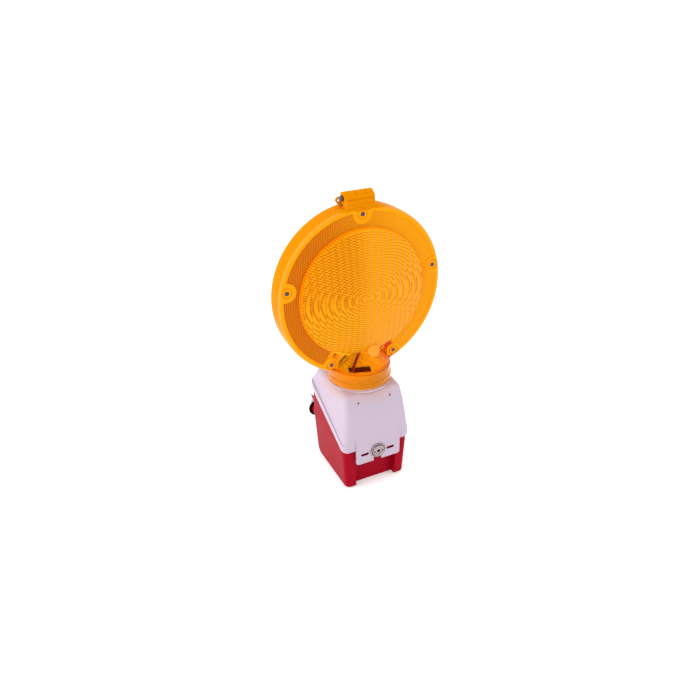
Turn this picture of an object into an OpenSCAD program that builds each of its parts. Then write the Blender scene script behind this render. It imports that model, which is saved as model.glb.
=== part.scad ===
// Battery-powered traffic warning lamp: amber two-shell lens head that swivels on a
// white hinged cover, over a red battery box that bolts to a barrier board.
// +X is to the lamp's right seen from the front, +Y to the rear, +Z up.
// The origin is the middle of the flat foot of the battery box.

/* [Battery box] */
// Width of the box at its foot
box_foot_w = 80; // [76:0.5:84]
// Width of the box from the front of the parting line upwards
box_top_w = 87.4; // [84:0.2:90]
// Distance from the swivel axis to the front of the box at its foot
box_front = 44.5; // [43:0.5:46]
// Distance from the swivel axis to the rear of the box at its foot
box_rear = 46; // [44:0.5:48]
// Wall thickness of the box
box_wall = 2.5; // [2:0.1:3]
// Depth of the recess between the two front corner posts
recess_depth = 9; // [7:0.5:10]
// Width of the recess between the two front corner posts
recess_w = 54; // [48:1:58]

/* [Cover] */
// Height of the parting line at the front of the box
parting_front_z = 60; // [56:1:64]
// Height of the parting line at the rear of the box
parting_rear_z = 105; // [100:1:107]
// Height of the flat top of the cover
cover_top_z = 130; // [128:0.5:132]
// Wall thickness of the cover
cover_wall = 2.4; // [2:0.1:3]
// Width of the tongue that hangs over the front recess
tongue_w = 59; // [54:1:62]
// Height of the lower edge of the tongue
tongue_foot_z = 37; // [34:0.5:40]

/* [Quarter-turn lock] */
// Height of the lock axis
lock_z = 51.5; // [50:0.5:53]
// Diameter of the lock's round face
lock_d = 19; // [16:0.5:21]
// Length of the cam bar, end to end
cam_l = 16; // [14:0.5:17]

/* [Lens head] */
// Outside diameter of the head
head_d = 201.5; // [198:0.5:204]
// Height of the middle of the head
head_z = 243; // [242:0.5:245]
// Diameter of the domed optic
optic_d = 151.4; // [146:0.2:154]
// How far the optic bulges past its own rim
dome_h = 10; // [6:0.5:12]
// Wall thickness of the lens shells
shell_wall = 2.5; // [2:0.1:3]
// Outside diameter of the collar round the neck
collar_d = 75; // [74:0.5:77]
// Radius of the circle that the five lens screws stand on
screw_circle_r = 91.8; // [90:0.2:92.4]

/* [Rear fixing] */
// Distance between the two fixing studs
stud_spacing = 60; // [50:1:62]
// Height of the fixing studs
stud_z = 54; // [48:1:60]
// Thread diameter of the fixing studs
stud_d = 8; // [6:0.5:8]
// Diameter of the large washers
washer_d = 25; // [22:0.5:28]

/* [Hidden] */
$fn = 64;
red = "crimson";
white = "ghostwhite";
amber = "orange";
nickel = "silver";

play = 0.3;              // gap between pieces that move past each other
over = 50;               // how far a cutting block runs past what it cuts
box_h = 106;             // height over which the box walls lean out
box_lean = 2;            // how far the front and rear walls lean out over box_h
box_r = 6;               // radius of the box's upright corners
foot_edge = 2.5;         // height of the rounded-off lower edge
rear_edge = 9;           // height of the bevel along the rear of the floor
floor_t = 3;             // thickness of the box floor
parting_y = [-46, 48];   // front and rear ends of the parting line, seen from the side
parting_a = atan2(parting_rear_z - parting_front_z, parting_y[1] - parting_y[0]);
recess_y = -box_front + recess_depth;
recess_top_z = 120;      // the recess runs out through the rim, so that the lock can lift clear
pocket_top_z = 70;       // top of the pocket that closes the cover in over the recess
seal_t = 1;              // thickness of the seal between box and cover
skirt_drop = 2;          // how far the cover's skirt hangs below the parting line
skirt_h = 8;             // height of the band along the cover's lower edge
skirt_t = 1.2;           // thickness of that band

hinge_y = 54;            // axis of the cover hinge
hinge_z = parting_rear_z - 1;
knuckle_r = 4.5;
hinge_pin_r = 2;
hinge_half = 24;         // half the length of the hinge
hinge_mid = 11.6;        // half the length of the cover's own knuckle

tongue_y = -47;          // rear face of the tongue
tongue_t = 2.5;
tongue_x = [0.9 - tongue_w / 2, 0.9 + tongue_w / 2];
tongue_top_z = 82;       // where the tongue has faded into the front of the cover
slot_x = 17.3;           // middle of each slot in the tongue
slot_z = 50;
slot_l = 10.5;
slot_h = 3.6;
shank_r = 4;
lock_face_y = tongue_y - tongue_t - play;
cam_y = -41;             // front face of the cam bar
cam_t = 3;
cam_h = 5;
cam_bore_r = 2.54;

battery_w = 67;
battery_h = 96;
battery_y = -31.2;       // front face of the battery
tray_z = 119;            // lower face of the contact tray
tray_t = 2;
terminal_x = 22;         // the two battery springs stand under the contact strips
terminal_y = -20;
centre_terminal_y = 2.3;
strip_t = 0.6;
tray_screw_x = 25;
tray_screw_y = [-20, 28];
tray_screw_r = 1.1;
tray_screw_top = 5.5;    // how far a tray screw reaches above the tray's lower face
board_y = -28.6;         // front face of the driver board
board_t = 1.6;
button_x = 21;
button_z = 119;
button_r = 1.1;
button_hole_r = 1.3;

parting_head_y = 0;      // plane in which the two lens shells meet
head_gap = 0.4;          // half the gap that the lens seal fills
face_front = 10;         // front face of the head, ahead of the swivel axis
face_rear = 15.5;        // rear face of the head, behind the swivel axis
optic_step = 4.5;        // height of the optic's rim above the face
rim_r = 3.5;             // rounding of the head's edge
optic_r = optic_d / 2;
head_r = head_d / 2;
collar_r = collar_d / 2;
neck_pad_h = 1.5;        // height of the pad that the swivel washer lies on
swivel_washer_t = 1.5;
collar_foot_z = cover_top_z + neck_pad_h + swivel_washer_t + 0.4;
collar_top_z = 152;
shoulder_z = 172;
shoulder_half = 25;
neck_r = 31;
neck_flange_z = 141;
neck_flange_t = 3;
lip_top_z = neck_flange_z - 1;
lens_pin_z = head_z + head_r + 8;
lens_pin_r = 2;
lug_r = 6.8;
ear_r = 4.4;             // middle ear of the rear lens, under the lug of the front lens
lug_ends = [-18.5, 15];  // the lug reaches further on the side of the pin's head
lug_mid = 5.8;
screw_angles = [90, 11.5, 168.5, -63.6, -116.4];
screw_shank_r = 1.5;
screw_grip = 3;          // how far a lens screw reaches into the rear shell
eye_x = -21.4;
eye_y = 5;
eye_z = lens_pin_z - 3.4;
eye_hole_r = 1.5;
eye_t = 2.8;
boss_r = 4.6;            // radius of the hollow posts that the lens screws pass through
carrier_floor_z = 137.5;
carrier_floor_t = 2;
mast_screw_x = 5;
mast_screw_y = 15.8;
mast_screw_r = 1;
mast_foot_t = 2.5;
led_y = 9.6;             // front face of the LED board
led_board_t = 1.6;
led_board_w = 40;
socket_z = tray_z + tray_t;
plug_r = 4.5;

boss_y = 64;             // rear face of the fixing bosses
washer_t = 1.6;
nut_y = boss_y + play + washer_t + 0.1;
stud_tip_y = 79;

wire_r = 0.9;
// Routes of the two wires, from the LED board down to their plug
black_route = [[-3, 8.7, 228], [-3, 4, 216], [-2.5, -1, 200], [-2, -4, 184], [-3, -6, 171],
    [-6.5, -7, 162], [-11, -7.5, 152], [-14, -8, 144], [-14.6, -8, 139], [-12, -6.5, 136],
    [-6, -3, 134.5], [-2, -0.4, 133], [-1.3, 0, 131.4], [-1.3, 0, 130]];
red_route = [[-0.8, 8.7, 228], [-0.8, 4, 216], [-0.3, -1, 200], [0.2, -4, 184], [-0.8, -6, 171],
    [-4.3, -7, 162], [-8.8, -7.5, 152], [-11.8, -8.2, 144], [-12.8, -9.6, 139], [-11, -8.8, 136],
    [-5, -5.5, 134.5], [0.6, -2, 133], [1.3, -1.4, 131.4], [1.3, -1.4, 130]];

// ---- helpers ----

function box_half(z) = (box_foot_w + (box_top_w - box_foot_w) * min(1, z / parting_front_z)) / 2;
function front_at(z) = -box_front - box_lean * z / box_h;
function rear_at(z) = box_rear + box_lean * z / box_h;

module rod_y(r, y0, y1, x, z) {
    translate([x, y0, z]) rotate([-90, 0, 0]) cylinder(r = r, h = y1 - y0);
}

module rod_x(r, x0, x1, y, z) {
    translate([x0, y, z]) rotate([0, 90, 0]) cylinder(r = r, h = x1 - x0);
}

module block(from, to) {
    translate(from) cube(to - from);
}

// Four upright corner cylinders, from which a hull makes a rounded box
module corners(half, y0, y1, r, z, h) {
    for (x = [-half + r, half - r], y = [y0 + r, y1 - r])
        translate([x, y, z]) cylinder(r = r, h = h, $fn = 32);
}

// Everything below the parting plane, raised by lift along the plane's normal
module below_parting(lift = 0) {
    translate([0, parting_y[0], parting_front_z]) rotate([parting_a, 0, 0])
        translate([-100, -over, -200 + lift]) cube([200, 200, 200]);
}

module above_parting(lift = 0) {
    translate([0, parting_y[0], parting_front_z]) rotate([parting_a, 0, 0])
        translate([-100, -over, lift]) cube([200, 200, 200]);
}

// Tube of radius r along a list of points
module tube_along(path, r, sides = 8) {
    n = len(path);
    function dir(i) = let (d = path[min(i + 1, n - 1)] - path[max(i - 1, 0)]) d / norm(d);
    function side(d) = let (s = cross(d, [0, 1, 0])) norm(s) < 0.1 ? [1, 0, 0] : s / norm(s);
    ring = [for (i = [0 : n - 1]) let (d = dir(i), s = side(d), u = cross(d, s))
        for (k = [0 : sides - 1]) let (a = k * 360 / sides) path[i] + r * (cos(a) * s + sin(a) * u)];
    wall = [for (i = [0 : n - 2], k = [0 : sides - 1])
        let (j = (k + 1) % sides) [i * sides + k, i * sides + j, (i + 1) * sides + j, (i + 1) * sides + k]];
    first = [for (k = [sides - 1 : -1 : 0]) k];
    last = [for (k = [0 : sides - 1]) (n - 1) * sides + k];
    polyhedron(points = ring, faces = concat([first], wall, [last]), convexity = 6);
}

// Points on a smooth curve through a list of points, steps per stretch
function smooth(p, steps) = let (n = len(p)) concat(
    [for (i = [0 : n - 2], s = [0 : steps - 1])
        let (t = s / steps, a = p[max(i - 1, 0)], b = p[i], c = p[i + 1], d = p[min(i + 2, n - 1)])
        0.5 * (2 * b + (c - a) * t + (2 * a - 5 * b + 4 * c - d) * t * t
            + (3 * b - a - 3 * c + d) * t * t * t)],
    [p[n - 1]]);

// ---- battery box ----

module box_solid(inset, z0) {
    edge = inset == 0 ? foot_edge : 0.01;
    r = box_r - inset;
    hull() {
        corners(box_half(z0) - inset - edge, front_at(z0) + inset + edge,
            rear_at(z0) - rear_edge + 0.2 * inset, r - edge, z0, 0.01);
        for (z = [z0 + edge, z0 + rear_edge / 2, z0 + rear_edge]) {
            lift = (rear_edge - 1.2 * inset) * pow(1 - (z - z0) / rear_edge, 2);
            corners(box_half(z) - inset, front_at(z) + inset, rear_at(z) - inset - lift, r, z, 0.01);
        }
        for (z = [parting_front_z, box_h + 2])
            corners(box_half(z) - inset, front_at(z) + inset, rear_at(z) - inset, r, z, 0.01);
    }
}

module front_recess(grow) {
    half = recess_w / 2 + grow;
    block([-half, -box_front - over, -1], [half, recess_y + grow, recess_top_z + grow]);
}

// Pocket under the lock: a floor, two cheeks and the lip that the cam turns behind
module keeper() {
    foot = lock_z - 14;
    top = lock_z - 5;
    front = -45.2;
    block([-12.5, front, foot], [12.5, recess_y + 0.5, foot + 2.5]);
    block([-12.5, front, foot], [12.5, cam_y - 1, top]);
    for (side = [-1, 1]) block([side * 11 - 1.5, front, foot], [side * 11 + 1.5, recess_y + 0.5, top]);
}

module box_knuckles() {
    for (side = [-1, 1]) {
        x0 = side > 0 ? hinge_mid + play + 0.1 : -hinge_half;
        x1 = side > 0 ? hinge_half : -hinge_mid - play - 0.1;
        rod_x(knuckle_r, x0, x1, hinge_y, hinge_z);
        block([x0, rear_at(95) - 1, hinge_z - 12], [x1, hinge_y - 2, hinge_z - 2]);
        block([x0, hinge_y - 5, hinge_z - 8], [x1, hinge_y + 2, hinge_z - 1]);
    }
}

module fixing_boss(x) {
    rod_y(9, rear_at(stud_z) - 1, boss_y - 6, x, stud_z);
    rod_y(8, boss_y - 7, boss_y, x, stud_z);
    block([x - 1.5, rear_at(stud_z) - 1, stud_z - 19], [x + 1.5, boss_y - 9, stud_z]);
}

module battery_box() {
    color(red) difference() {
        union() {
            difference() {
                intersection() {
                    box_solid(0, 0);
                    below_parting();
                }
                front_recess(0);
                difference() {
                    box_solid(box_wall, floor_t);
                    front_recess(box_wall);
                }
            }
            keeper();
            box_knuckles();
            for (side = [-1, 1]) fixing_boss(side * stud_spacing / 2);
        }
        rod_x(hinge_pin_r, -over, over, hinge_y, hinge_z);
        for (side = [-1, 1])
            rod_y(stud_d / 2 + 0.2, box_rear - 8, boss_y + 1, side * stud_spacing / 2, stud_z);
    }
}

// Red pads on the recess wall that the tongue rests against, behind its slots
module keeper_pads() {
    color(red) for (side = [-1, 1])
        block([side * slot_x - 7, tongue_y + 0.2, slot_z - 3.5],
            [side * slot_x + 7, recess_y, slot_z + 3.5]);
}

// Foam strip on the rim of the box
module cover_seal() {
    color("dimgray") difference() {
        intersection() {
            difference() {
                box_solid(0.6, floor_t);
                front_recess(0.6);
            }
            above_parting();
            below_parting(seal_t);
        }
        difference() {
            box_solid(box_wall - 0.6, floor_t - 1);
            front_recess(box_wall - 0.6);
        }
    }
}

module cover_hinge_pin() {
    color(nickel) rod_x(hinge_pin_r, -hinge_half - 1, hinge_half + 1, hinge_y, hinge_z);
}

// ---- battery ----

module battery_case() {
    y1 = battery_y + battery_w;
    color("darkslategray") difference() {
        hull() corners(battery_w / 2, battery_y, y1, 4, floor_t, battery_h);
        hull() corners(battery_w / 2 - 1, battery_y + 1, y1 - 1, 3, floor_t + battery_h - 4, 10);
    }
}

module battery_lid() {
    y1 = battery_y + battery_w;
    color("black") hull() corners(battery_w / 2 - 1, battery_y + 1, y1 - 1, 3, floor_t + battery_h - 4, 5);
}

module terminal_springs() {
    coil_r = 0.7;
    foot = floor_t + battery_h + 1.75;
    top = tray_z - strip_t - play - coil_r;
    turns = 3.5;
    steps = 12;
    color("goldenrod") for (at = [[0, centre_terminal_y], [terminal_x, terminal_y]])
        tube_along([for (i = [0 : turns * steps])
            let (t = i / (turns * steps), r = 9 - 5 * t, a = i * 360 / steps)
            [at[0] + r * cos(a), at[1] + r * sin(a), foot + (top - foot) * t]], coil_r, 6);
}

// ---- rear fixing ----

module fixing_bolts() {
    inner = rear_at(stud_z - 8) - box_wall;
    color(nickel) for (side = [-1, 1]) {
        rod_y(stud_d / 2, inner - 2, stud_tip_y, side * stud_spacing / 2, stud_z);
        rod_y(8, inner - 3.5, inner, side * stud_spacing / 2, stud_z);
    }
}

module washer(x) {
    color(nickel) difference() {
        rod_y(washer_d / 2, boss_y + play, boss_y + play + washer_t, x, stud_z);
        rod_y(stud_d / 2 + play, boss_y, nut_y + 1, x, stud_z);
    }
}

module wing_nut(x, tilt) {
    color("darkkhaki") difference() {
        union() {
            rod_y(8, nut_y, nut_y + 4, x, stud_z);
            rod_y(6.4, nut_y + 3, nut_y + 9, x, stud_z);
            translate([x, 0, stud_z]) rotate([0, tilt, 0]) for (side = [-1, 1]) hull() {
                translate([-1.3, nut_y + 1.5, side * 5]) cube([2.6, 6, 1]);
                rod_x(3.2, -1.1, 1.1, nut_y + 7, side * 13.3);
            }
        }
        rod_y(stud_d / 2 + 0.08, nut_y - 1, nut_y + 20, x, stud_z);
    }
}

// ---- cover ----

// Rounded corners of the cover, each as y, z and half the width there
cover_ends = [[-48, parting_front_z - 6, 46], [-47.4, 76, 42.4], [-46.4, 92, 40.8], [-42.8, 109, 39.4],
    [-37.5, cover_top_z - 7, 37.8], [-33, cover_top_z - 6, 37], [44, cover_top_z - 6, 39.5],
    [rear_at(115) + 1, 113, 42.6], [rear_at(95) + 1, 92, 44.6]];

module cover_solid(inset) {
    r = 6;
    hull() for (p = cover_ends, side = [-1, 1])
        translate([side * (p[2] - r), p[0] + (p[0] < 0 ? r : -r), p[1]]) sphere(r = r - inset, $fn = 24);
}

module skirt_solid(grow) {
    hull() {
        for (z = [50, parting_front_z, 116])
            corners(box_half(z) + grow, front_at(z) - grow, rear_at(z) + grow, box_r + grow, z, 0.01);
    }
}

module tongue() {
    face = tongue_y - tongue_t;
    root_z = parting_front_z + 1.8;
    difference() {
        rotate([90, 0, 90]) translate([0, 0, tongue_x[0]]) linear_extrude(tongue_w)
            polygon([[face, tongue_foot_z], [tongue_y, tongue_foot_z], [tongue_y, root_z], [-45.5, root_z],
                [-45.5, tongue_top_z], [-46.8, tongue_top_z], [face, root_z]]);
        block([-5.5, -60, tongue_foot_z - 5], [5.5, -30, slot_z - 8]);
        for (x = tongue_x)
            translate([x, 0, tongue_foot_z]) rotate([0, 45, 0]) cube([3, 150, 3], center = true);
        for (side = [-1, 1]) translate([side * slot_x, 0, slot_z]) hull() for (end = [-1, 1])
            rod_y(slot_h / 2, -60, -30, end * (slot_l - slot_h) / 2, 0);
    }
}

// Closed pocket behind the tongue, which carries on the line of the recess in the box
module lock_pocket(grow) {
    half = recess_w / 2 + grow;
    block([-half, tongue_y + 1, parting_front_z - 10], [half, recess_y + grow, pocket_top_z + grow]);
}

// Space that the box's hinge ears need behind the skirt
module hinge_room() {
    half = hinge_half + 0.6;
    rod_x(knuckle_r + 0.5, -half, half, hinge_y, hinge_z);
    block([-half, rear_at(hinge_z) + 0.3, hinge_z - 20], [half, hinge_y, hinge_z]);
}

module cover_knuckle() {
    rod_x(knuckle_r, -hinge_mid, hinge_mid, hinge_y, hinge_z);
    block([-hinge_mid, rear_at(108), hinge_z + 1.6], [hinge_mid, hinge_y, hinge_z + 4.4]);
    block([-hinge_mid, rear_at(108), hinge_z + 4], [hinge_mid, rear_at(108) + 4, hinge_z + 9]);
}

// Pad under the collar, neck tube and the flange that the collar hooks under
module neck() {
    translate([0, 0, cover_top_z - 1]) cylinder(r = collar_r + 1, h = neck_pad_h + 1);
    cylinder(r = neck_r, h = neck_flange_z + neck_flange_t);
    translate([0, 0, neck_flange_z]) cylinder(r = neck_r + 3, h = neck_flange_t);
}

module at_tray_screws(z) {
    for (side = [-1, 1], y = tray_screw_y) translate([side * tray_screw_x, y, z]) children();
}

module cover() {
    color(white) difference() {
        union() {
            intersection() {
                union() {
                    difference() {
                        cover_solid(0);
                        cover_solid(cover_wall);
                    }
                    intersection() {
                        neck();
                        block([-60, -60, cover_top_z - 4], [60, 60, 200]);
                    }
                    lock_pocket(box_wall);
                }
                above_parting(seal_t + play);
            }
            difference() {
                intersection() {
                    skirt_solid(0.4 + skirt_t);
                    above_parting(-skirt_drop);
                    below_parting(skirt_h - skirt_drop);
                }
                intersection() {
                    skirt_solid(0.4);
                    below_parting(seal_t + play);
                }
                cover_solid(cover_wall);
                block([tongue_x[0], -60, 0], [tongue_x[1], tongue_y + 2, parting_front_z - 1]);
                hinge_room();
            }
            tongue();
            cover_knuckle();
            at_tray_screws(tray_z + tray_t) cylinder(r = 3, h = cover_top_z - 1 - tray_z - tray_t);
        }
        lock_pocket(0);
        translate([0, 0, cover_top_z - 10]) cylinder(r = neck_r - 3, h = 60);
        rod_x(hinge_pin_r + 0.06, -over, over, hinge_y, hinge_z);
        rod_y(shank_r + 0.08, -60, -30, 0, lock_z);
        for (side = [-1, 1]) rod_y(button_hole_r, -60, -30, side * button_x, button_z);
        at_tray_screws(tray_z) cylinder(r = tray_screw_r, h = tray_screw_top + 1.5);
    }
}

module swivel_washer() {
    color("whitesmoke") translate([0, 0, cover_top_z + neck_pad_h]) difference() {
        cylinder(r = collar_r - 1, h = swivel_washer_t);
        translate([0, 0, -1]) cylinder(r = neck_r, h = 5);
    }
}

module contact_tray() {
    color("gainsboro") difference() {
        translate([0, 0, tray_z]) hull() corners(30, board_y + board_t, 33, 4, 0, tray_t);
        at_tray_screws(tray_z - 1) cylinder(r = tray_screw_r, h = 7);
    }
}

module contact_strips() {
    color("goldenrod") {
        low = tray_z - strip_t;
        block([-7, -6, low], [7, 14, tray_z]);
        block([terminal_x - 7, -17, low], [terminal_x + 7, -13, tray_z]);
        block([terminal_x - 7, -24, low], [terminal_x - 0.5, -16, tray_z]);
    }
}

module tray_screws() {
    head_h = 1.6;
    color(nickel) at_tray_screws(tray_z - head_h) {
        cylinder(r = 2.4, h = head_h);
        cylinder(r = tray_screw_r, h = head_h + tray_screw_top);
    }
}

module driver_board() {
    color("seagreen") block([-28, board_y, 109.5], [28, board_y + board_t, 125]);
}

module driver_chips() {
    color("black") {
        block([-8, board_y - 1.8, 112], [4, board_y, 120]);
        rod_y(3, board_y - 4.9, board_y, 11, 117);
    }
}

module switch_bodies() {
    body_w = 6;
    body_t = 3.9;
    color("black") for (side = [-1, 1]) difference() {
        translate([side * button_x - body_w / 2, board_y - body_t, button_z - body_w / 2])
            cube([body_w, body_t, body_w]);
        rod_y(button_hole_r, -40, board_y - 1.9, side * button_x, button_z);
    }
}

module button(side) {
    color("black") rod_y(button_r, board_y - 5.8, board_y - 3, side * button_x, button_z);
}

// ---- lock ----

module lock_face() {
    color(nickel) difference() {
        union() {
            rod_y(lock_d / 2, lock_face_y - 1.5, lock_face_y, 0, lock_z);
            rod_y(lock_d / 2 - 1.5, lock_face_y - 2.6, lock_face_y - 1.4, 0, lock_z);
            rod_y(shank_r, lock_face_y - 1, cam_y, 0, lock_z);
            rod_y(cam_bore_r - 0.04, cam_y - 1, cam_y + cam_t, 0, lock_z);
        }
        for (side = [-1, 1]) rod_y(1, lock_face_y - 5, lock_face_y - 1.5, side * 5.5, lock_z);
        translate([-1.6, lock_face_y - 5, lock_z - 1.6]) cube([3.2, 3.5, 3.2]);
    }
}

module lock_cam() {
    color("lightgray") difference() {
        block([-cam_l / 2, cam_y, lock_z - cam_h / 2], [cam_l / 2, cam_y + cam_t, lock_z + cam_h / 2]);
        rod_y(cam_bore_r, cam_y - 1, cam_y + cam_t + 1, 0, lock_z);
    }
}

module lock_clip() {
    color(nickel) difference() {
        rod_y(6, tongue_y + 0.3, tongue_y + 1.3, 0, lock_z);
        rod_y(shank_r, tongue_y, tongue_y + 2, 0, lock_z);
    }
}

// ---- lens head ----

function dome(r, top, foot, n) = let (h = top - foot, big = (r * r + h * h) / (2 * h), a = asin(r / big))
    [for (i = [0 : n]) [big * sin(a * i / n), top - big * (1 - cos(a * i / n))]];
function edge_arc(r, x, y, n) = [for (i = [0 : n]) [x + r * sin(90 * i / n), y + r * cos(90 * i / n)]];

// Profile of one lens shell, as distance from the axis and distance along it; inset makes the inside
module shell_profile(face, inset) {
    rim = face + optic_step - inset;
    polygon(concat([[0, -over]], dome(optic_r - inset, rim + dome_h, rim, 10),
        [[optic_r - inset, face - inset]],
        edge_arc(rim_r - inset, head_r - rim_r, face - rim_r, 5), [[head_r - inset, -over]]));
}

module head_disc(inset) {
    translate([0, 0, head_z]) {
        rotate([90, 0, 0]) intersection() {
            rotate_extrude($fn = 128) shell_profile(face_front, inset);
            translate([0, 0, -parting_head_y - 2]) cylinder(r = 150, h = 60);
        }
        rotate([-90, 0, 0]) intersection() {
            rotate_extrude($fn = 128) shell_profile(face_rear, inset);
            translate([0, 0, parting_head_y - 2]) cylinder(r = 150, h = 60);
        }
    }
}

// Sloping shoulder between the collar and the optic
module shoulder(inset) {
    hull() {
        translate([0, 0, collar_top_z - 1 - inset]) cylinder(r = collar_r - inset, h = 1, $fn = 48);
        translate([0, (face_rear - face_front) / 2, shoulder_z - 1 - inset])
            scale([shoulder_half - inset, (face_front + face_rear) / 2 + optic_step - inset, 1])
                cylinder(r = 1, h = 1);
    }
}

module head_solid() {
    head_disc(0);
    shoulder(0);
    translate([0, 0, collar_foot_z]) cylinder(r = collar_r, h = collar_top_z - collar_foot_z);
    translate([0, 0, collar_foot_z]) cylinder(r = collar_r + 0.8, h = 7);
}

module head_cavity() {
    head_disc(shell_wall);
    shoulder(shell_wall);
    translate([0, 0, lip_top_z])
        cylinder(r = collar_r - shell_wall - 0.2, h = collar_top_z - lip_top_z - 1);
    translate([0, 0, collar_foot_z - 1]) cylinder(r = neck_r + 0.5, h = 20);
}

module front_half() {
    block([-150, -60, 0], [150, parting_head_y - head_gap, 400]);
}

module rear_half() {
    block([-150, parting_head_y + head_gap, 0], [150, 60, 400]);
}

module at_screws() {
    for (a = screw_angles)
        translate([screw_circle_r * cos(a), 0, head_z + screw_circle_r * sin(a)]) children();
}

module rear_lens() {
    color(amber) difference() {
        union() {
            intersection() {
                union() {
                    difference() {
                        head_solid();
                        head_cavity();
                    }
                    at_screws() rod_y(boss_r, parting_head_y, face_rear - 1, 0, 0);
                }
                rear_half();
            }
            rod_x(ear_r, -lug_mid, lug_mid, parting_head_y, lens_pin_z);
            block([-lug_mid, parting_head_y + head_gap, head_z + head_r - 4],
                [lug_mid, parting_head_y + ear_r, lens_pin_z]);
            rod_y(2.8, eye_y, eye_y + eye_t, eye_x, eye_z);
            block([eye_x - 2, eye_y, eye_z - 9], [eye_x + 2, eye_y + eye_t, eye_z - 1.5]);
        }
        rod_x(lens_pin_r, -over, over, parting_head_y, lens_pin_z);
        at_screws() rod_y(screw_shank_r + 0.4, parting_head_y - 5, parting_head_y + 5, 0, 0);
        rod_y(eye_hole_r, 0, 20, eye_x, eye_z);
    }
}

// Lug along the top of the front lens, hollowed over the rear lens's middle ear
module hinge_lug() {
    seam = parting_head_y - head_gap;
    room = lug_mid + 0.4;
    foot = head_z + head_r - 7;
    brow = lens_pin_z + 3;
    difference() {
        union() {
            rod_x(lug_r, lug_ends[0], lug_ends[1], parting_head_y, lens_pin_z);
            rotate([90, 0, 90]) translate([0, 0, lug_ends[0]]) linear_extrude(lug_ends[1] - lug_ends[0])
                polygon([[seam, foot], [-face_front - 0.3, foot], [-face_front - 0.3, foot + 9],
                    [-8, brow], [-7, brow + 0.8], [seam, brow + 0.8]]);
        }
        rod_x(ear_r + 0.5, -room, room, parting_head_y, lens_pin_z);
        block([-room, seam, head_z], [room, 20, lens_pin_z + ear_r + 0.5]);
        block([-over, seam, head_z], [over, 20, head_z + head_r + 0.4]);
    }
}

module front_lens() {
    color(amber) difference() {
        union() {
            intersection() {
                union() {
                    difference() {
                        head_solid();
                        head_cavity();
                    }
                    at_screws() rod_y(boss_r, -face_front + 1, parting_head_y, 0, 0);
                }
                front_half();
            }
            hinge_lug();
        }
        rod_x(lens_pin_r + 0.06, -over, over, parting_head_y, lens_pin_z);
        at_screws() {
            rod_y(screw_shank_r, -over, over, 0, 0);
            rod_y(3.1, -over, -face_front + 1, 0, 0);
        }
    }
}

module lens_seal() {
    color("wheat") difference() {
        rod_y(head_r - 0.2, parting_head_y - 0.2, parting_head_y + head_gap, 0, head_z);
        rod_y(head_r - shell_wall + 0.2, -5, 20, 0, head_z);
        block([-44, -5, 0], [44, 20, head_z - 60]);
    }
}

module lens_hinge_pin() {
    color(nickel) {
        rod_x(lens_pin_r, lug_ends[0] - 2, lug_ends[1] + 2.6, parting_head_y, lens_pin_z);
        rod_x(3, lug_ends[0] - 3.4, lug_ends[0] - play, parting_head_y, lens_pin_z);
    }
}

module pin_clip() {
    color(nickel) difference() {
        rod_x(3.2, lug_ends[1] + 0.7, lug_ends[1] + 1.7, parting_head_y, lens_pin_z);
        rod_x(lens_pin_r, lug_ends[1], lug_ends[1] + 3, parting_head_y, lens_pin_z);
    }
}

module lens_screws() {
    color(nickel) at_screws() difference() {
        union() {
            rod_y(3, -face_front - 0.9, -face_front + 1, 0, 0);
            rod_y(screw_shank_r, -face_front, parting_head_y + head_gap + screw_grip, 0, 0);
        }
        for (spin = [45, 135]) rotate([0, spin, 0])
            translate([-1.9, -face_front - 2, -0.35]) cube([3.8, 2.1, 0.7]);
    }
}

module neck_carrier() {
    top = neck_flange_z + neck_flange_t + 1;
    rim_t = 2.4;
    in_collar = collar_r - shell_wall - 0.7;
    color(white) difference() {
        union() {
            translate([0, 0, top]) cylinder(r = in_collar, h = rim_t);
            intersection() {
                translate([0, 0, top]) cylinder(r = in_collar + 0.5, h = rim_t);
                rear_half();
            }
            translate([0, 0, carrier_floor_z]) cylinder(r = neck_r - 3.6, h = top + 1 - carrier_floor_z);
        }
        translate([0, 0, carrier_floor_z + carrier_floor_t]) cylinder(r = neck_r - 5.6, h = 20);
        rotate([0, 0, -18]) block([-13, -8, carrier_floor_z - 1], [14, 8, carrier_floor_z + 5]);
        block([-17.5, -12, carrier_floor_z - 1], [-8, -4, carrier_floor_z + 5]);
        at_mast_screws(carrier_floor_z - 1) cylinder(r = mast_screw_r, h = 5);
    }
}

module at_mast_screws(z) {
    for (side = [-1, 1]) translate([side * mast_screw_x, mast_screw_y, z]) children();
}

module led_mast() {
    foot = carrier_floor_z + carrier_floor_t;
    face = led_y + led_board_t;
    color(white) difference() {
        union() {
            block([-9, face, foot], [9, face + 6.8, foot + mast_foot_t]);
            block([-6, face, foot + 1], [6, face + 1.6, head_z - 13]);
        }
        at_mast_screws(foot - 1) cylinder(r = mast_screw_r, h = 10);
    }
}

module mast_screws() {
    foot = carrier_floor_z + carrier_floor_t;
    color(nickel) at_mast_screws(foot) {
        translate([0, 0, mast_foot_t]) cylinder(r = 1.9, h = 1.3);
        cylinder(r = mast_screw_r, h = mast_foot_t + 0.5);
    }
}

module led_board() {
    half = led_board_w / 2;
    color("whitesmoke") block([-half, led_y, head_z - half], [half, led_y + led_board_t, head_z + half]);
}

module led_domes() {
    color("lightyellow") for (face = [[led_y, 90], [led_y + led_board_t, -90]])
        translate([0, face[0], head_z]) rotate([face[1], 0, 0]) {
            cylinder(r = 3.5, h = 1);
            intersection() {
                translate([0, 0, 1]) sphere(r = 2.6);
                cylinder(r = 3, h = 5);
            }
        }
}

module black_wire() {
    color("black") tube_along(smooth(black_route, 4), wire_r, 8);
}

module red_wire() {
    color("red") tube_along(smooth(red_route, 4), wire_r, 8);
}

module wire_plug() {
    color("ivory") translate([0, 0, socket_z + 2.5]) cylinder(r = plug_r, h = 6.5);
}

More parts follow.
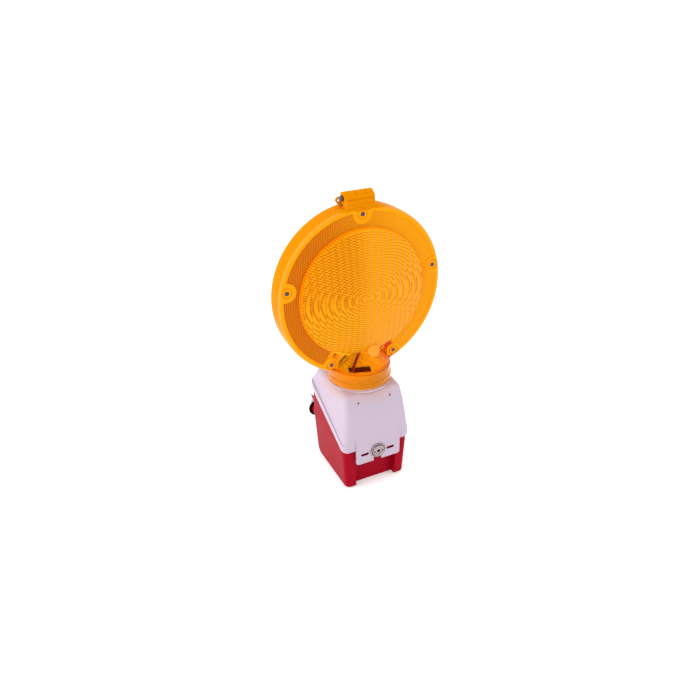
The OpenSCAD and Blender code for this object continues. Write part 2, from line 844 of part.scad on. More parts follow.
// Round socket that the plug turns in as the head swivels
module plug_socket() {
    color("black") translate([0, 0, socket_z]) difference() {
        cylinder(r = plug_r + 2, h = 6);
        translate([0, 0, 1]) cylinder(r = plug_r + play, h = 6);
    }
}

battery_box();
cover_seal();
battery_case();
battery_lid();
terminal_springs();
keeper_pads();
cover_hinge_pin();
fixing_bolts();
washer(-stud_spacing / 2);  // washer_left
washer(stud_spacing / 2);  // washer_right
wing_nut(-stud_spacing / 2, -15);  // wing_nut_left
wing_nut(stud_spacing / 2, 35);  // wing_nut_right
cover();
swivel_washer();
contact_tray();
contact_strips();
driver_board();
driver_chips();
switch_bodies();
button(-1);  // button_left
button(1);  // button_right
tray_screws();
lock_face();
lock_cam();
lock_clip();
rear_lens();
front_lens();
lens_seal();
lens_hinge_pin();
pin_clip();
lens_screws();
neck_carrier();
led_mast();
led_board();
led_domes();
mast_screws();
black_wire();
red_wire();
wire_plug();
plug_socket();
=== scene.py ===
import math

import bmesh
import bpy
import numpy as np
from mathutils import Matrix, Vector


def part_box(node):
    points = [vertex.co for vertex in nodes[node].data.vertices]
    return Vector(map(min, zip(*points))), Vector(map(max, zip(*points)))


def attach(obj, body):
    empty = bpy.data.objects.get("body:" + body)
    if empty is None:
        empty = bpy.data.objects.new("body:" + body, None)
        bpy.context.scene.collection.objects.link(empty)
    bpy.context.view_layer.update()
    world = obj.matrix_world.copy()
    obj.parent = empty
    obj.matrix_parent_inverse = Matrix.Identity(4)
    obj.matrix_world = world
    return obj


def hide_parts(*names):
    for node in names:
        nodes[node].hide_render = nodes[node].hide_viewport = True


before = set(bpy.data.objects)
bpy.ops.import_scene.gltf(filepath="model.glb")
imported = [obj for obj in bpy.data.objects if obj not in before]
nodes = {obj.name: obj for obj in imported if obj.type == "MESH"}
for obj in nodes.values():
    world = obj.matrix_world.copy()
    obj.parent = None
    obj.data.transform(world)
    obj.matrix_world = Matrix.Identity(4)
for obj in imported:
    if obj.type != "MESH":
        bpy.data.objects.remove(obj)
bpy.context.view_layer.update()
MM = 0.001

# ---------------------------------------------------------------- shared sizes, in mm
def cad(node):
    """Low and high corner of a CAD node's box."""
    lo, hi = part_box(node)
    return np.array(lo) / MM, np.array(hi) / MM


front_lo, front_hi = cad("front_lens")
pin_lo, pin_hi = cad("lens_hinge_pin")
lock_lo, lock_hi = cad("lock_face")

# the head: +Y is its rear, and both halves meet in the plane y = 0
HEAD_R = (front_hi[0] - front_lo[0]) / 2
PIN_Z = (pin_lo[2] + pin_hi[2]) / 2
PIN_ABOVE_HEAD = 8
HEAD_Z = PIN_Z - PIN_ABOVE_HEAD - HEAD_R
FACE_F, FACE_R = 10.0, 15.5      # distance of the front and the rear face from the joint plane
STEP, DOME = 4.5, 10.0           # how far the optic's rim stands past the face, and its dome past the rim
WALL = 2.5
GAP = 0.3                        # half the gap between the two lens halves
OPTIC_R = 75.7
FLUTE, RING = 7.6, 2.7           # pitch of the upright flutes and of the prism rings
LIP_R = 95.2                     # inner edge of the flat lip round the sunken annulus

# the collar round the neck, and the shoulder above it
COLLAR_R = 37.5
COLLAR_FOOT = float(front_lo[2])
COLLAR_TOP, SHOULDER_Z, SHOULDER_HALF = 152.0, 172.0, 25.0
NECK_R = 31.0
LIP_TOP = 140.0                  # above it the collar is hollow

# five lens screws, and the round boss below the optic
SCREW_R = 91.8                   # their distance from the head's middle
SCREW_ANGLES = [90, 11.5, 168.5, -63.6, -116.4]
SCREW_TIP = cad("lens_screws")[1][1]
SCREW_SPOTS = [(SCREW_R * math.cos(math.radians(a)), HEAD_Z + SCREW_R * math.sin(math.radians(a)))
               for a in SCREW_ANGLES]
BOSS_R, BOSS_LEAN = 7.3, math.radians(25)

# hinge lug on the front half, ear and seal eye on the rear half
LUG, LUG_MID = (-18.5, 15.0), 5.8  # both ends of the lug in x, and half the width of its middle
LUG_R, PIN_BORE_R, EAR_R = 6.78, 2.0, 4.4
EYE_X, EYE_Z, EYE_R, EYE_HOLE_R = -20.6, PIN_Z - 3.4, 3.5, 1.6

LOCK_R, LOCK_Y, LOCK_Z = (lock_hi[0] - lock_lo[0]) / 2, lock_lo[1], (lock_lo[2] + lock_hi[2]) / 2


# ---------------------------------------------------------------- mesh helpers
def make(name, verts, faces, mat=None):
    """Mesh object from points in mm."""
    me = bpy.data.meshes.new(name)
    me.from_pydata([tuple(float(c) * MM for c in v) for v in verts], [], [tuple(f) for f in faces])
    me.validate()
    me.update()
    o = bpy.data.objects.new(name, me)
    bpy.context.scene.collection.objects.link(o)
    if mat:
        me.materials.append(mat)
    return o


def soften(o, angle):
    """Smooth shading, with edges sharper than the angle kept sharp."""
    me = o.data
    me.polygons.foreach_set("use_smooth", [True] * len(me.polygons))
    me.set_sharp_from_angle(angle=math.radians(angle))
    me.update()


def revolve(name, profile, segs, axis="y", centre=(0, 0, 0)):
    """Closed solid from (radius, distance along the axis) points that start and end on the axis."""
    p = [q for q in profile if q[0] > 1e-6]
    first, last = profile[0], profile[-1]
    a = np.arange(segs) * 2 * math.pi / segs
    verts = []
    for r, h in p:
        for t in a:
            verts.append((r * math.cos(t), r * math.sin(t), h))
    n = len(p)
    faces = []
    for i in range(n - 1):
        for k in range(segs):
            j = (k + 1) % segs
            faces.append((i * segs + k, i * segs + j, (i + 1) * segs + j, (i + 1) * segs + k))
    verts += [(0, 0, first[1]), (0, 0, last[1])]
    for k in range(segs):
        j = (k + 1) % segs
        faces.append((n * segs, j, k))
        faces.append((n * segs + 1, (n - 1) * segs + k, (n - 1) * segs + j))
    out = []
    for x, y, z in verts:
        if axis == "y":
            out.append((x + centre[0], z + centre[1], y + centre[2]))
        elif axis == "x":
            out.append((z + centre[0], x + centre[1], y + centre[2]))
        else:
            out.append((x + centre[0], y + centre[1], z + centre[2]))
    return outward(make(name, out, faces))


def outward(o):
    """Turns all face normals outwards."""
    bm = bmesh.new()
    bm.from_mesh(o.data)
    bmesh.ops.recalc_face_normals(bm, faces=bm.faces)
    bm.to_mesh(o.data)
    bm.free()
    return o


def loft(name, rings):
    """Closed solid through rings of equal point counts."""
    n, s = len(rings), len(rings[0])
    verts = [p for ring in rings for p in ring]
    faces = []
    for i in range(n - 1):
        for k in range(s):
            j = (k + 1) % s
            faces.append((i * s + k, i * s + j, (i + 1) * s + j, (i + 1) * s + k))
    faces.append(tuple(range(s))[::-1])
    faces.append(tuple((n - 1) * s + k for k in range(s)))
    return outward(make(name, verts, faces))


def boxed(name, lo, hi):
    """Block between two corners."""
    x0, y0, z0 = lo
    x1, y1, z1 = hi
    v = [(x0, y0, z0), (x1, y0, z0), (x1, y1, z0), (x0, y1, z0),
         (x0, y0, z1), (x1, y0, z1), (x1, y1, z1), (x0, y1, z1)]
    f = [(3, 2, 1, 0), (4, 5, 6, 7), (0, 1, 5, 4), (1, 2, 6, 5), (2, 3, 7, 6), (3, 0, 4, 7)]
    return make(name, v, f)


def rod(name, r, a0, a1, centre, axis="y", segs=48):
    """Round bar from a0 to a1 along the axis."""
    return revolve(name, [(0, a0), (r, a0), (r, a1), (0, a1)], segs, axis, centre)


def combine(a, op, *others):
    """Applies a boolean to a with each of the others, which are then removed."""
    for b in others:
        m = a.modifiers.new("cut", "BOOLEAN")
        m.operation, m.object, m.solver = op, b, "MANIFOLD"
        dg = bpy.context.evaluated_depsgraph_get()
        me = bpy.data.meshes.new_from_object(a.evaluated_get(dg))
        a.modifiers.clear()
        old = a.data
        a.data = me
        bpy.data.meshes.remove(old)
        bpy.data.objects.remove(b)
    return a


# ---------------------------------------------------------------- zones of the lens halves, and hand-over
def boss_at(face):
    """Middle of the round boss's end face, on the front shell."""
    return Vector((9.1, -face - 10.8, 172.4))


def near_screw(c, inner, outer):
    """Whether a point lies between two radii round one of the lens screws."""
    return any(inner < math.hypot(c.x - x, c.z - z) < outer for x, z in SCREW_SPOTS)


def shell_zone(c, n, face):
    """Which of the shell's materials a face takes, from its middle c, in mm, and its normal n."""
    r = math.hypot(c.x, c.z - HEAD_Z)
    upright = abs(n.y) < 0.75
    lug = c.z > HEAD_Z + HEAD_R - 5 and abs(c.x) < 30
    peg = Matrix.Rotation(BOSS_LEAN, 3, "X") @ (Vector((c.x, -abs(c.y), c.z)) - boss_at(face))
    if math.hypot(peg.x, peg.z) < BOSS_R + 0.03 and peg.y < 4 and abs(c.y) > face + STEP - 0.5:
        return AMBER_BOSS_GLINT
    if c.z < COLLAR_TOP + 0.5:
        return AMBER_COLLAR
    if c.z < HEAD_Z - 65 and abs(c.x) < 39 and r > OPTIC_R - WALL - 1.5:
        return AMBER_WINDOW
    # the ring round each screw takes the amber with painted shade
    if near_screw(c, 4.7, 6.3) and abs(c.y) > face - 1.0:
        return AMBER_WALL_SHADED
    if c.y < 0 and r > HEAD_R - 3.8 and 0.3 < abs(n.y) < 0.92 and c.z < HEAD_Z + HEAD_R - 5:
        return AMBER_RIDGE
    # the lug and the rim's upright walls take the amber with painted shade
    if lug or r > HEAD_R - 3.6 and upright:
        return AMBER_WALL_SHADED
    if OPTIC_R - 1.5 < r < OPTIC_R + 1.0 and upright and abs(c.y) > face - 1.5:
        return AMBER_STEP_SHADED
    if r < OPTIC_R - 0.6 and abs(c.y) > face + STEP - WALL - 1:
        return AMBER_OPTIC
    by_neck = c.z < HEAD_Z - 62 and abs(c.x) < 46
    if OPTIC_R + 1.2 < r < 94.0 and face - WALL - 1.2 < abs(c.y) < face - 1.0 and not by_neck:
        return AMBER_CELLS
    return AMBER


def paint_shell(o, face):
    """Gives each zone of a lens half its own amber."""
    me = o.data
    me.materials.clear()
    slots = [AMBER, AMBER_OPTIC, AMBER_CELLS, AMBER_WINDOW, AMBER_WALL_SHADED, AMBER_BOSS_GLINT, AMBER_COLLAR, AMBER_STEP_SHADED,
             AMBER_RIDGE]
    for m in slots:
        me.materials.append(m)
    for p in me.polygons:
        p.material_index = slots.index(shell_zone(p.center / MM, p.normal, face))


def finish_piece(o, mat, body, angle=30.0, replaces=()):
    """Material, shading, body and replaced nodes of a new piece."""
    if mat:
        o.data.materials.clear()
        o.data.materials.append(mat)
    soften(o, angle)
    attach(o, body)
    if replaces:
        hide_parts(*replaces)
    return o


# ---------------------------------------------------------------- materials
def material(name, colour, rough, metallic=0.0, transmission=0.0, ior=1.46, specular=0.5, coat=0.0,
             tint=0.04, tint_scale=60.0, bump=0.0, bump_scale=400.0, rough_vary=0.06, rough_scale=120.0,
             subsurface=0.0):
    """Principled plastic or metal with fine colour variation, uneven roughness and a fine surface bump."""
    m = bpy.data.materials.new(name)
    m.use_nodes = True
    t = m.node_tree
    t.nodes.clear()
    out = t.nodes.new("ShaderNodeOutputMaterial")
    b = t.nodes.new("ShaderNodeBsdfPrincipled")
    t.links.new(b.outputs["BSDF"], out.inputs["Surface"])
    b.inputs["Metallic"].default_value = metallic
    b.inputs["Transmission Weight"].default_value = transmission
    b.inputs["IOR"].default_value = ior
    b.inputs["Specular IOR Level"].default_value = specular
    b.inputs["Coat Weight"].default_value = coat
    b.inputs["Coat Roughness"].default_value = 0.06
    if subsurface:
        b.inputs["Subsurface Weight"].default_value = subsurface
        b.inputs["Subsurface Radius"].default_value = (0.004, 0.003, 0.003)
        b.inputs["Subsurface Scale"].default_value = 0.5
    where = t.nodes.new("ShaderNodeTexCoord")
    noise = t.nodes.new("ShaderNodeTexNoise")
    noise.inputs["Scale"].default_value = tint_scale
    noise.inputs["Detail"].default_value = 3
    t.links.new(where.outputs["Object"], noise.inputs["Vector"])
    ramp = t.nodes.new("ShaderNodeValToRGB")
    c = np.array(colour[:3])
    ramp.color_ramp.elements[0].position, ramp.color_ramp.elements[1].position = 0.3, 0.7
    ramp.color_ramp.elements[0].color = (*np.clip(c * (1 - tint), 0, 1), 1)
    ramp.color_ramp.elements[1].color = (*np.clip(c * (1 + tint), 0, 1), 1)
    t.links.new(noise.outputs["Fac"], ramp.inputs["Fac"])
    t.links.new(ramp.outputs["Color"], b.inputs["Base Color"])
    mist = t.nodes.new("ShaderNodeTexNoise")
    mist.inputs["Scale"].default_value = rough_scale
    mist.inputs["Detail"].default_value = 4
    t.links.new(where.outputs["Object"], mist.inputs["Vector"])
    span = t.nodes.new("ShaderNodeMapRange")
    span.inputs["To Min"].default_value = max(0.01, rough - rough_vary)
    span.inputs["To Max"].default_value = rough + rough_vary
    t.links.new(mist.outputs["Fac"], span.inputs["Value"])
    t.links.new(span.outputs["Result"], b.inputs["Roughness"])
    if bump:
        fine = t.nodes.new("ShaderNodeTexNoise")
        fine.inputs["Scale"].default_value = bump_scale
        fine.inputs["Detail"].default_value = 2
        t.links.new(where.outputs["Object"], fine.inputs["Vector"])
        bm = t.nodes.new("ShaderNodeBump")
        bm.inputs["Strength"].default_value = bump
        bm.inputs["Distance"].default_value = 0.0005
        t.links.new(fine.outputs["Fac"], bm.inputs["Height"])
        t.links.new(bm.outputs["Normal"], b.inputs["Normal"])
    return m


def shader(mat):
    """The Principled shader of a material."""
    return next(n for n in mat.node_tree.nodes if n.type == "BSDF_PRINCIPLED")


class Maths:
    """Short hand for chains of math nodes on the object's own coordinates, in mm."""

    def __init__(self, tree):
        self.t = tree
        where = tree.nodes.new("ShaderNodeTexCoord")
        split = tree.nodes.new("ShaderNodeSeparateXYZ")
        tree.links.new(where.outputs["Object"], split.inputs[0])
        self.x = self.do("MULTIPLY", split.outputs[0], 1000.0)
        self.y = self.do("MULTIPLY", split.outputs[1], 1000.0)
        self.z = self.do("MULTIPLY", split.outputs[2], 1000.0)

    def facing(self, axis):
        """That axis of the object's own surface normal."""
        where, split = self.t.nodes.new("ShaderNodeTexCoord"), self.t.nodes.new("ShaderNodeSeparateXYZ")
        self.t.links.new(where.outputs["Normal"], split.inputs[0])
        return split.outputs[axis]

    def do(self, op, *values):
        """One math node on sockets or numbers."""
        n = self.t.nodes.new("ShaderNodeMath")
        n.operation = op
        for i, v in enumerate(values):
            if isinstance(v, (int, float)):
                n.inputs[i].default_value = v
            else:
                self.t.links.new(v, n.inputs[i])
        return n.outputs[0]

    def fade(self, v, a, b):
        """0 at a, 1 at b, smooth between."""
        n = self.t.nodes.new("ShaderNodeMapRange")
        n.interpolation_type = "SMOOTHSTEP"
        n.inputs["From Min"].default_value, n.inputs["From Max"].default_value = a, b
        self.t.links.new(v, n.inputs["Value"])
        return n.outputs["Result"]

    def wave(self, v, pitch, shift=0.0):
        """Raised cosine of that pitch, 1 at multiples of it."""
        turn = self.do("MULTIPLY", self.do("ADD", v, shift), 2 * math.pi / pitch)
        return self.do("MULTIPLY_ADD", self.do("COSINE", turn), 0.5, 0.5)

    def mix(self, fac, a, b):
        """Colour a where fac is 0, colour b where it is 1."""
        n = self.t.nodes.new("ShaderNodeMix")
        n.data_type = "RGBA"
        n.clamp_factor = True
        self.t.links.new(fac, n.inputs[0])
        for i, c in ((6, a), (7, b)):
            if isinstance(c, tuple):
                n.inputs[i].default_value = (*c, 1)
            else:
                self.t.links.new(c, n.inputs[i])
        return n.outputs[2]


AMBER_BODY = (0.88, 0.41, 0.003)
AMBER_DEEP = (0.52, 0.09, 0.0)
# colour of the painted highlights on the flute lines
AMBER_FLUTE_GLINT = (0.93, 0.43, 0.055)


def amber(name, kind, transmission, rough, colour=AMBER_BODY, gloss=0.12, ior=1.46,
          reflected=(1.0, 0.55, 0.18)):
    """Amber polycarbonate; kind says which moulded pattern, with its painted light and shade, runs through
    it, and reflected tints its gloss.
    """
    m = material(name, colour, rough, transmission=transmission, ior=ior, specular=gloss, tint=0.012,
                 rough_vary=0.03, bump=0.04, bump_scale=250)
    t = m.node_tree
    b = shader(m)
    b.inputs["Specular Tint"].default_value = (*reflected, 1)
    plain = b.inputs["Base Color"].links[0].from_socket

    # lamps and daylight reach the hollow inside through it, coloured but not bent
    lets_light = t.nodes.new("ShaderNodeBsdfTransparent")
    lets_light.inputs["Color"].default_value = (1.0, 0.60, 0.02, 1)
    ray, both = t.nodes.new("ShaderNodeLightPath"), t.nodes.new("ShaderNodeMixShader")
    t.links.new(ray.outputs["Is Shadow Ray"], both.inputs[0])
    t.links.new(b.outputs[0], both.inputs[1])
    t.links.new(lets_light.outputs[0], both.inputs[2])
    out = next(n for n in t.nodes if n.type == "OUTPUT_MATERIAL")
    t.links.new(both.outputs[0], out.inputs["Surface"])
    if kind == "plain":
        return m

    k = Maths(t)
    z = k.do("SUBTRACT", k.z, HEAD_Z)
    line = {"optic": optic_lines, "step": step_shade_lines, "cells": cell_lines}[kind](k, z)
    # painted highlights: pale lines between the flutes on the right half
    if kind == "optic":
        right = k.fade(k.x, -20, 15)
        plain = k.mix(k.do("MULTIPLY", flute_lines(k), right), plain, AMBER_FLUTE_GLINT)
    t.links.new(k.mix(line, plain, AMBER_DEEP), b.inputs["Base Color"])
    bump = next(n for n in t.nodes if n.type == "BUMP")
    fine = bump.inputs["Height"].links[0].from_socket
    t.links.new(k.do("MULTIPLY_ADD", line, -0.6, fine), bump.inputs["Height"])
    bump.inputs["Strength"].default_value = 0.25
    return m


def flute_lines(k):
    """Narrow lines where two upright flutes meet."""
    return k.do("POWER", k.wave(k.x, FLUTE, FLUTE / 2), 5.0)


def optic_lines(k, z):
    """Prism rings, and above left the courses that they break up into, seen through the upright flutes."""
    # each flute is a small cylinder lens, so it stretches the rings behind it
    centre = k.do("MULTIPLY", k.do("FLOOR", k.do("DIVIDE", k.do("ADD", k.x, FLUTE / 2), FLUTE)), FLUTE)
    seen = k.do("MULTIPLY_ADD", k.do("SUBTRACT", k.x, centre), 0.45, centre)
    r = k.do("SQRT", k.do("ADD", k.do("MULTIPLY", seen, seen), k.do("MULTIPLY", z, z)))
    rings = k.do("POWER", k.wave(r, RING), 2.4)
    course = k.do("MULTIPLY", k.do("FLOOR", k.do("DIVIDE", k.x, FLUTE / 2)), 1.5)
    rows = k.do("POWER", k.wave(k.do("ADD", z, course), 3.0), 1.6)
    upper_left = k.do("MULTIPLY", k.fade(k.x, 12, -25), k.fade(z, -20, 20))
    right = k.fade(k.x, -20, 15)
    slanted = k.do("ADD", k.x, k.do("MULTIPLY", z, 0.35))
    broken = k.do("MULTIPLY_ADD", k.wave(slanted, 3.1), 0.55, 0.45)
    less = k.do("ADD", k.do("MULTIPLY", upper_left, 0.45), k.do("MULTIPLY", right, 0.35))
    line = k.do("MULTIPLY", k.do("MULTIPLY", rings, broken), k.do("SUBTRACT", 1.0, less))
    line = k.do("MULTIPLY_ADD", k.do("MULTIPLY", rows, upper_left), 0.7, line)
    return k.do("MULTIPLY_ADD", flute_lines(k), 0.12, line)


def step_shade_lines(k, z):
    """Painted shade on the optic's step: short dashes round the optic's rim, darkest on the left and fading
    out to the right.
    """
    round_it = k.do("MULTIPLY", k.do("ARCTAN2", z, k.x), OPTIC_R)
    return k.do("MULTIPLY", k.do("POWER", k.wave(round_it, 3.2), 1.5), k.fade(k.x, 20, -45))


def cell_lines(k, z):
    """Outlines of the six-sided cells, with painted shade on the left: a darker ground and stronger outlines
    there.
    """
    turns = []
    for a in (0, 60, 120):
        cx, cz = math.cos(math.radians(a)), math.sin(math.radians(a))
        along = k.do("ADD", k.do("MULTIPLY", k.x, cx), k.do("MULTIPLY", z, cz))
        turns.append(k.wave(along, 2.0))
    total = k.do("ADD", k.do("ADD", turns[0], turns[1]), turns[2])
    # painted shade: 1 on the left, 0 on the right
    shade = k.fade(k.x, 60, -90)
    strength = k.do("MULTIPLY_ADD", shade, 0.80, 0.15)
    return k.do("MULTIPLY_ADD", shade, 0.36, k.do("MULTIPLY", k.fade(total, 1.9, 0.9), strength))


AMBER = amber("amber_moulded", "plain", 0.10, 0.14, (0.88, 0.31, 0.002))
# painted shade: a darker, nearly glossless copy of the amber for the rim's upright walls, the lug and the
# rings round the screws
AMBER_WALL_SHADED = amber("amber_wall_shaded", "plain", 0.0, 0.12, (0.60, 0.20, 0.001), 0.05, 1.10)
# darker amber for the optic's step, with painted shade on its left
AMBER_STEP_SHADED = amber("amber_step_shaded", "step", 0.0, 0.16, (0.84, 0.33, 0.002))
# painted reflection: a paler amber on the round boss under the optic
AMBER_BOSS_GLINT = amber("amber_boss_glint", "plain", 0.08, 0.16, (0.84, 0.30, 0.030))
AMBER_COLLAR = amber("amber_collar", "plain", 0.60, 0.08, (0.80, 0.31, 0.001))
AMBER_RIDGE = amber("amber_ridge", "plain", 0.0, 0.16, (0.76, 0.25, 0.003), 0.72, reflected=(1, 0.8, 0.7))
AMBER_WINDOW = amber("amber_window", "plain", 1.0, 0.03, (1.0, 0.74, 0.008), reflected=(1, 0.10, 0.05))
AMBER_OPTIC = amber("amber_optic", "optic", 0.30, 0.14)
# the cells' amber also carries painted shade on its left
AMBER_CELLS = amber("amber_cells", "cells", 0.30, 0.14, (0.84, 0.37, 0.002))
WHITE = material("white_moulded", (0.435, 0.365, 0.445), 0.32, specular=0.3, tint=0.012, tint_scale=25,
                 bump=0.06, bump_scale=700, rough_vary=0.08, subsurface=0.12)
RED = material("red_moulded", (0.285, 0.0, 0.010), 0.42, specular=0.05, tint=0.03, tint_scale=30, bump=0.02,
               bump_scale=600, rough_vary=0.04)
SCREW = material("dark_zinc", (0.10, 0.095, 0.16), 0.28, metallic=1.0, tint=0.1, rough_vary=0.08, bump=0.1)
NICKEL = material("nickel_plate", (0.60, 0.55, 0.57), 0.20, metallic=1.0, tint=0.05, rough_vary=0.08,
                  bump=0.08, bump_scale=500)
ZINC = material("passivated_zinc", (0.44, 0.33, 0.28), 0.36, metallic=1.0, tint=0.15, tint_scale=90,
                rough_vary=0.1, bump=0.15, bump_scale=450)
BRASS = material("contact_brass", (0.80, 0.58, 0.25), 0.25, metallic=1.0, tint=0.08, rough_vary=0.08)
RUBBER = material("foam_rubber", (0.03, 0.03, 0.03), 0.85, specular=0.2, tint=0.3, tint_scale=900, bump=0.5,
                  bump_scale=1500)
NATURAL = material("natural_white_plastic", (0.74, 0.70, 0.66), 0.45, specular=0.4, tint=0.02, bump=0.05)
TRAY = material("tray_plastic", (0.74, 0.70, 0.66), 0.45, specular=0.4, tint=0.02, bump=0.05)
# painted light: a brighter copy of the natural white for the carrier and mast inside the head
CARRIER_LIT = material("carrier_white_lit", (0.90, 0.86, 0.80), 0.45, specular=0.3, tint=0.02, bump=0.05)
BLACK = material("black_plastic", (0.012, 0.011, 0.012), 0.45, tint=0.2, bump=0.1, bump_scale=800)
WRAP = material("battery_wrap", (0.05, 0.12, 0.16), 0.35, tint=0.08, coat=0.3, bump=0.03)
BOARD = material("solder_mask", (0.02, 0.16, 0.06), 0.3, tint=0.12, tint_scale=300, coat=0.5, bump=0.1,
                 bump_scale=900)
RESIN = material("led_resin", (0.92, 0.80, 0.35), 0.08, transmission=0.5, tint=0.03)
RED_PVC = material("red_pvc", (0.62, 0.01, 0.01), 0.4, tint=0.06)
BLACK_PVC = material("black_pvc", (0.008, 0.007, 0.008), 0.4, tint=0.2)
LOCK = material("lock_nickel", (0.36, 0.29, 0.30), 0.30, metallic=1.0, tint=0.05, rough_vary=0.08, bump=0.06)
# painted shade: near black, nearly glossless, for the lock's holes and groove and for the buttons deep in
# their holes
RECESS_SHADE = material("painted_recess_shade", (0.02, 0.004, 0.006), 0.8, specular=0.05, tint=0.2)
SILICONE = material("clear_silicone", (0.45, 0.22, 0.05), 0.35, transmission=0.3, tint=0.05)
WASHER = material("washer_nickel", (0.74, 0.60, 0.58), 0.35, metallic=1.0, tint=0.05, rough_vary=0.08,
                  bump=0.06)


def overlay(mat, k, mask, colour):
    """Another colour where the mask is 1, over what the material has so far."""
    b = shader(mat)
    so_far = b.inputs["Base Color"].links[0].from_socket
    k.t.links.new(k.mix(mask, so_far, colour), b.inputs["Base Color"])


def shade_slots(mat, xs, z, half_l, half_h, depth, colour):
    """Painted shade: a dark red on the walls inside the tongue's slots, between two depths."""
    k = Maths(mat.node_tree)
    inside = None
    for x in xs:
        one = k.do("MULTIPLY", k.do("LESS_THAN", k.do("ABSOLUTE", k.do("SUBTRACT", k.x, x)), half_l),
                   k.do("LESS_THAN", k.do("ABSOLUTE", k.do("SUBTRACT", k.z, z)), half_h))
        inside = one if inside is None else k.do("ADD", inside, one)
    behind = k.do("MULTIPLY", k.do("GREATER_THAN", k.y, depth[0]), k.do("LESS_THAN", k.y, depth[1]))
    overlay(mat, k, k.do("MULTIPLY", inside, behind), colour)


def glow_and_shade_neck(mat, inside, glow):
    """On the cover: a painted amber glow on the top round the collar, and painted dark red shade inside the
    neck.
    """
    k = Maths(mat.node_tree)
    r = k.do("SQRT", k.do("ADD", k.do("MULTIPLY", k.x, k.x), k.do("MULTIPLY", k.y, k.y)))
    # painted glow: light through the amber on the top round the collar
    painted_glow = k.do("MULTIPLY", k.fade(r, 52, 38), k.fade(k.z, 112, 122))
    overlay(mat, k, k.do("MULTIPLY", painted_glow, 0.45), glow)
    # painted shade: dark red inside the neck, reaching further under the top at the back
    under_top = k.do("MULTIPLY", k.do("LESS_THAN", k.z, 127.7), k.do("GREATER_THAN", k.y, 15.0))
    reach = k.do("MULTIPLY_ADD", under_top, 7.5, NECK_R - 0.3)
    overlay(mat, k, k.do("MULTIPLY", k.do("LESS_THAN", r, reach), k.do("GREATER_THAN", k.z, 95.0)), inside)


def shade_tray(mat, colour):
    """On the contact tray: painted dark red shade where it looks up into the neck."""
    k = Maths(mat.node_tree)
    r = k.do("SQRT", k.do("ADD", k.do("MULTIPLY", k.x, k.x), k.do("MULTIPLY", k.y, k.y)))
    looks_up = k.do("GREATER_THAN", k.facing(2), 0.5)
    overlay(mat, k, k.do("MULTIPLY", k.do("LESS_THAN", r, 45.0), looks_up), colour)


def shade_front(mat, colour):
    """Painted shade: another colour on the faces that look forward (-Y), in the part's own axes."""
    k = Maths(mat.node_tree)
    overlay(mat, k, k.fade(k.facing(1), -0.6, -0.9), colour)


# painted shade, dark red, on the walls inside the tongue's two slots in the white cover
shade_slots(WHITE, (-17.3, 17.3), 50, 5.4, 2.0, (-49.35, -44.0), (0.16, 0.0, 0.008))
# painted glow round the collar and painted shade inside the neck, on the white cover
glow_and_shade_neck(WHITE, (0.16, 0.0, 0.004), (0.50, 0.30, 0.24))
# painted shade on the contact tray below the neck
shade_tray(TRAY, (0.24, 0.0, 0.004))
# painted shade on the washers' front faces, which face the box
shade_front(WASHER, (0.035, 0.004, 0.006))

carried = {
    "battery_box": RED, "keeper_pads": RED, "cover": WHITE, "cover_seal": RUBBER, "battery_case": WRAP,
    "battery_lid": BLACK, "terminal_springs": BRASS, "cover_hinge_pin": NICKEL, "fixing_bolts": NICKEL,
    "washer_left": WASHER, "washer_right": WASHER, "wing_nut_left": ZINC, "wing_nut_right": ZINC,
    "swivel_washer": NATURAL, "contact_tray": TRAY, "contact_strips": BRASS, "driver_board": BOARD,
    # the two buttons take the painted recess shade, as they sit deep in their holes
    "driver_chips": BLACK, "switch_bodies": BLACK, "button_left": RECESS_SHADE, "button_right": RECESS_SHADE,
    "tray_screws": NICKEL, "lock_face": NICKEL, "lock_cam": NICKEL, "lock_clip": NICKEL, "rear_lens": AMBER,
    "front_lens": AMBER, "lens_seal": SILICONE, "lens_hinge_pin": SCREW, "pin_clip": SCREW,
    "lens_screws": SCREW, "neck_carrier": CARRIER_LIT, "led_mast": CARRIER_LIT, "led_board": NATURAL,
    "led_domes": RESIN, "mast_screws": NICKEL, "black_wire": BLACK_PVC, "red_wire": RED_PVC,
    "wire_plug": NATURAL, "plug_socket": BLACK,
}
for name, mat in carried.items():
    o = nodes[name]
    o.data.materials.clear()
    o.data.materials.append(mat)
    soften(o, 32)


# ---------------------------------------------------------------- amber lens shells
def dome_height(r):
    """How far the optic stands past its own rim, at radius r."""
    big = (OPTIC_R ** 2 + DOME ** 2) / (2 * DOME)
    return math.sqrt(max(0.0, big * big - r * r)) - (big - DOME)


def disc_outer(sign, face):
    """Sunken annulus, lip and rounded rim."""
    edge = 3.5
    pts = [(0, face - 1.2), (OPTIC_R + 1.0, face - 1.2), (LIP_R - 1, face - 1.2), (LIP_R, face), (97.0, face)]
    for i in range(1, 9):
        a = math.radians(i * 90 / 8)
        pts.append((HEAD_R - edge + edge * math.sin(a), face - edge + edge * math.cos(a)))
    pts += [(HEAD_R, -2), (0, -2)]
    return revolve("disc_outer", [(r, sign * h) for r, h in pts], 192, "y", (0, 0, HEAD_Z))


def disc_inner(sign, face):
    """Hollow behind rim and annulus."""
    edge = 1.5
    pts = [(0, face - WALL), (94.0, face - WALL), (LIP_R, face - WALL + 0.6)]
    for i in range(1, 6):
        a = math.radians(i * 90 / 5)
        pts.append((HEAD_R - WALL - edge + edge * math.sin(a), face - WALL - 1.0 + edge * math.cos(a)))
    pts += [(HEAD_R - WALL, -3), (0, -3)]
    return revolve("disc_inner", [(r, sign * h) for r, h in pts], 192, "y", (0, 0, HEAD_Z))


